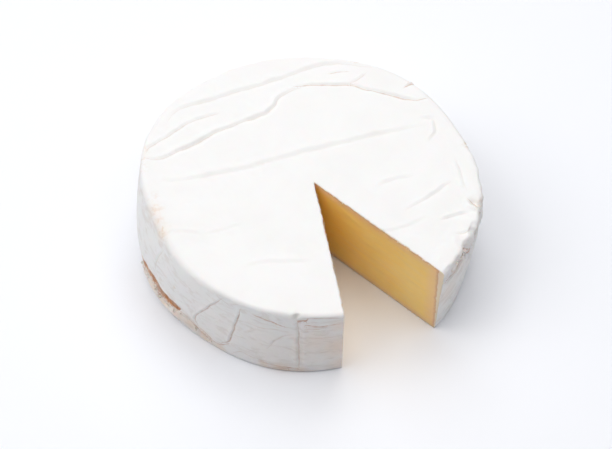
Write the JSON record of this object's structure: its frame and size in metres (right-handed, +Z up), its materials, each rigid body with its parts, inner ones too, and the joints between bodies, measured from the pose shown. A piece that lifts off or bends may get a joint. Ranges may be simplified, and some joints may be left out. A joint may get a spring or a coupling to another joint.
{
  "type": "brie wheel",
  "caption": "Small soft-ripened cheese, a low round drum with a white mould rind, with one wedge cut out so its golden paste shows.",
  "frame": {"origin": "on the wheel's axis, in the plane of its flat base", "axes": "+Z up out of the top face; the cut opens towards -Y, and its middle line stays within a millimetre of the Y axis"},
  "size_m": [0.1285, 0.129, 0.036],
  "materials": {
    "white_rind": "matte, velvety"
  },
  "bodies": {
    "root": {"brie_wheel": "white_rind"}
  },
  "joints": []
}
